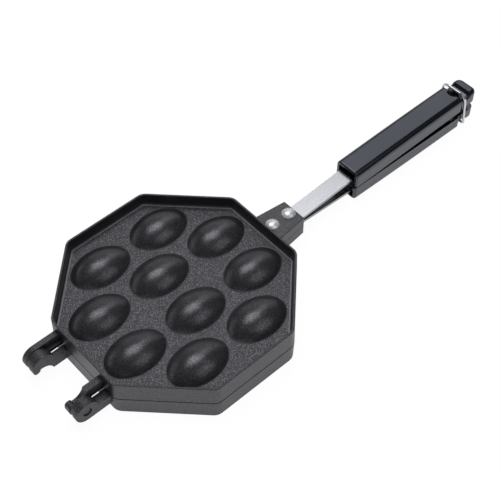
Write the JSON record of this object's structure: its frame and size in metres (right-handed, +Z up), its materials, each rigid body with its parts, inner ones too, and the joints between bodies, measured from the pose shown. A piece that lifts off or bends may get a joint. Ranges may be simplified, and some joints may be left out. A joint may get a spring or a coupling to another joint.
{
  "type": "takoyaki_pan",
  "caption": "Folding double-sided takoyaki pan: two hinged octagonal non-stick castings with oval cups, twin black grips on steel bars, and a wire ring that holds the grips shut",
  "frame": {"origin": "centre of the bounding box, on the lower casting's rim plane that the shut pan rests on", "axes": "+X from the hinges to the ends of the grips, +Y across the pan, +Z up through the stacked halves"},
  "size_m": [0.404, 0.161, 0.0349],
  "materials": {
    "coated_casting": "speckled non-stick coating, satin",
    "steel_bar": "satin",
    "rivet": "polished",
    "grip": "moulded phenolic, semi-gloss",
    "steel_wire": "bright drawn wire"
  },
  "bodies": {
    "lower_half": {"lower_casting": "coated_casting", "lower_bar": "steel_bar", "lower_rivet_inner": "rivet", "lower_rivet_outer": "rivet", "lower_grip": "grip", "lower_grip_screw": "steel_wire"},
    "upper_half": {"upper_casting": "coated_casting", "upper_bar": "steel_bar", "upper_rivet_inner": "rivet", "upper_rivet_outer": "rivet", "upper_grip": "grip", "upper_grip_screw": "steel_wire"},
    "lock_ring": {"lock_ring": "steel_wire"}
  },
  "joints": [
    {"name": "pan_hinge", "type": "hinge", "parent": "lower_half", "child": "upper_half", "pos_m": [-0.1932, 0, 0.0159], "axis": [0, -1, 0], "range_deg": [0, 180]},
    {"name": "ring_hinge", "type": "hinge", "parent": "lower_half", "child": "lock_ring", "pos_m": [0.1885, 0, 0.0033], "axis": [0, 1, 0], "range_deg": [0, 98]}
  ]
}
